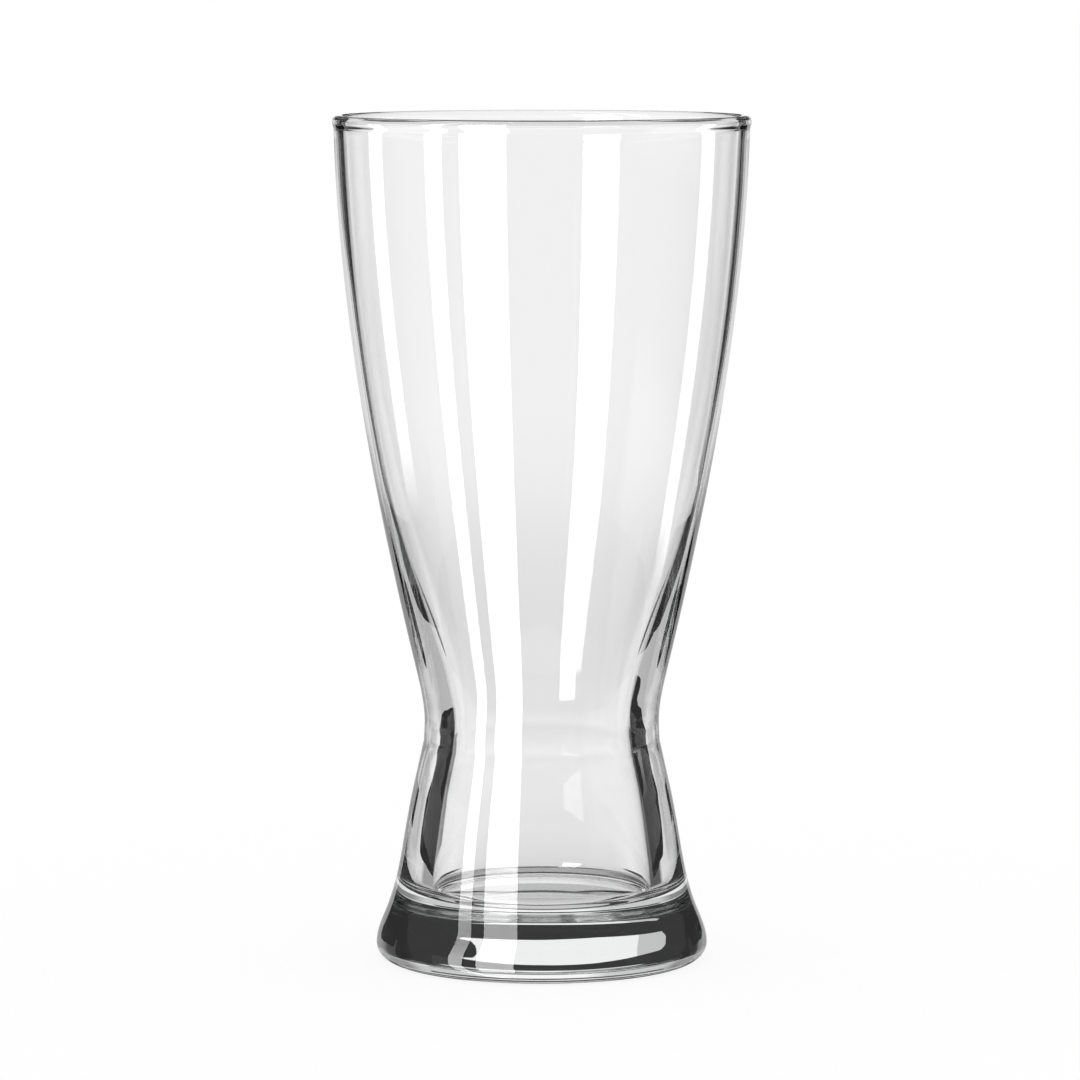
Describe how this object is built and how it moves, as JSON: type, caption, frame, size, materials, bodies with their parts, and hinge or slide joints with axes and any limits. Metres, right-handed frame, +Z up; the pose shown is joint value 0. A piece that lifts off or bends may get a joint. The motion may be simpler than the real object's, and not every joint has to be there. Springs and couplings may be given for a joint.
{
  "type": "pilsner glass",
  "caption": "Clear hourglass-shaped pilsner glass with a flared thin bowl, a pinched thick waist and a heavy solid foot.",
  "frame": {"origin": "centre of the glass's axis on the plane that its bearing ring stands on", "axes": "+Z up along the axis of the glass, from the foot to the mouth; the glass is round, so X and Y are free"},
  "size_m": [0.0778, 0.0778, 0.158],
  "materials": {
    "glass": "clear soda-lime glass, fire-polished"
  },
  "bodies": {
    "root": {"rim_bead": "glass", "upper_bowl": "glass", "lower_bowl": "glass", "waist": "glass", "chamber_wall": "glass", "foot": "glass"}
  },
  "joints": []
}
